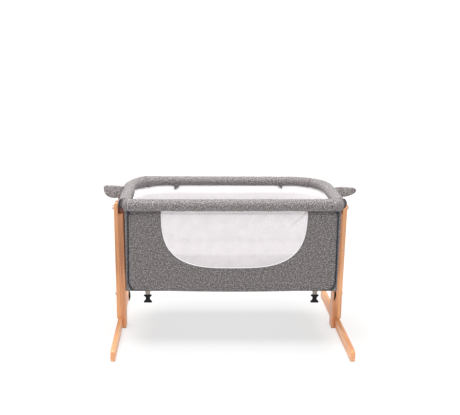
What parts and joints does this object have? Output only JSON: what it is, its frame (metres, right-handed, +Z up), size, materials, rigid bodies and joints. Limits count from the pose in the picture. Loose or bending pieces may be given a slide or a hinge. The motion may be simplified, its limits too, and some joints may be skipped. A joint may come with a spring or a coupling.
{
  "type": "bassinet on stand",
  "caption": "Bedside bassinet: padded fabric basket with a mesh window in its drop-down front side, on a height-adjustable beech stand with two long feet.",
  "frame": {"origin": "on the floor under the middle of the bassinet", "axes": "+X along the length, -Y towards the drop side, +Z up"},
  "size_m": [1.01, 0.748, 0.601],
  "materials": {
    "beech": "satin lacquer",
    "dark_beech": "satin lacquer",
    "nickel": "satin nickel plate",
    "zinc_steel": "zinc plated",
    "rubber": "matte",
    "white_steel": "powder coat",
    "black_plastic": "moulded, fine texture",
    "grey_fabric": "melange weave",
    "white_lining": "smooth knit",
    "mattress_fabric": "soft knit",
    "mesh": "fine net",
    "zip_tape": "woven tape with nylon coil",
    "zip_metal": "polished",
    "puller_cord": "braided cord",
    "webbing": "woven webbing",
    "board": "plywood"
  },
  "bodies": {
    "stand": {"left_outer_post": "beech", "left_front_guide": "beech", "left_rear_guide": "beech", "left_stop_block": "beech", "left_foot": "beech", "right_outer_post": "beech", "right_front_guide": "beech", "right_rear_guide": "beech", "right_stop_block": "beech", "right_foot": "beech", "guide_screws": "zinc_steel", "post_bolts": "nickel", "foot_bolts": "zinc_steel", "barrel_nuts": "zinc_steel", "foot_glides": "rubber"},
    "left_lock": {"left_lock_screw": "nickel"},
    "right_lock": {"right_lock_screw": "nickel"},
    "basket": {"left_slider": "dark_beech", "left_handle_core": "black_plastic", "left_handle_cover": "grey_fabric", "left_end_frame": "white_steel", "left_end_panel": "grey_fabric", "right_slider": "dark_beech", "right_handle_core": "black_plastic", "right_handle_cover": "grey_fabric", "right_end_frame": "white_steel", "right_end_panel": "grey_fabric", "side_zip_chains": "zip_tape", "front_lining": "white_lining", "handle_screws": "zinc_steel", "top_rail_tube": "white_steel", "base_ring": "white_steel", "spacer_bushes": "black_plastic", "slider_bolts": "zinc_steel", "rail_catches": "black_plastic", "hinge_brackets": "white_steel", "hinge_pins": "zinc_steel", "base_boards": "board", "mattress": "mattress_fabric", "back_panel": "grey_fabric", "bottom_panel": "grey_fabric", "inner_lining": "white_lining", "left_rail_cover": "grey_fabric", "back_rail_cover": "grey_fabric", "right_rail_cover": "grey_fabric", "rail_tabs": "grey_fabric"},
    "drop_side": {"drop_frame": "white_steel", "front_rail_cover": "grey_fabric", "front_panel": "grey_fabric", "mesh_window": "mesh", "front_zip_chains": "zip_tape", "rail_studs": "zinc_steel"},
    "left_strap": {"left_strap_webbing": "webbing", "left_strap_buckle": "black_plastic"},
    "right_strap": {"right_strap_webbing": "webbing", "right_strap_buckle": "black_plastic"},
    "left_zip": {"left_zip_slider": "zip_metal"},
    "right_zip": {"right_zip_slider": "zip_metal"},
    "left_puller": {"left_zip_puller": "puller_cord"},
    "right_puller": {"right_zip_puller": "puller_cord"}
  },
  "joints": [
    {"name": "height_slide", "type": "slide", "parent": "stand", "child": "basket", "axis": [0, 0, 1], "range_m": [0, 0.15]},
    {"name": "left_lock_turn", "type": "hinge", "parent": "stand", "child": "left_lock", "pos_m": [-0.46, 0, 0.513], "axis": [1, 0, 0], "range_deg": [0, 360]},
    {"name": "right_lock_turn", "type": "hinge", "parent": "stand", "child": "right_lock", "pos_m": [0.46, 0, 0.513], "axis": [1, 0, 0], "range_deg": [0, 360]},
    {"name": "front_side_drop", "type": "hinge", "parent": "basket", "child": "drop_side", "pos_m": [0, -0.218, 0.247], "axis": [1, 0, 0], "range_deg": [0, 125]},
    {"name": "left_strap_swing", "type": "hinge", "parent": "basket", "child": "left_strap", "pos_m": [-0.328, -0.19, 0.2315], "axis": [1, 0, 0], "range_deg": [-60, 60]},
    {"name": "right_strap_swing", "type": "hinge", "parent": "basket", "child": "right_strap", "pos_m": [0.328, -0.19, 0.2315], "axis": [1, 0, 0], "range_deg": [-60, 60]},
    {"name": "left_zip_slide", "type": "slide", "parent": "basket", "child": "left_zip", "axis": [0, 0, 1], "range_m": [0, 0.285]},
    {"name": "right_zip_slide", "type": "slide", "parent": "basket", "child": "right_zip", "axis": [0, 0, 1], "range_m": [0, 0.285]},
    {"name": "left_puller_swing", "type": "hinge", "parent": "left_zip", "child": "left_puller", "pos_m": [-0.3983, -0.2323, 0.238], "axis": [1, 0, 0], "range_deg": [-110, 0]},
    {"name": "right_puller_swing", "type": "hinge", "parent": "right_zip", "child": "right_puller", "pos_m": [0.3983, -0.2323, 0.238], "axis": [1, 0, 0], "range_deg": [-110, 0]}
  ]
}
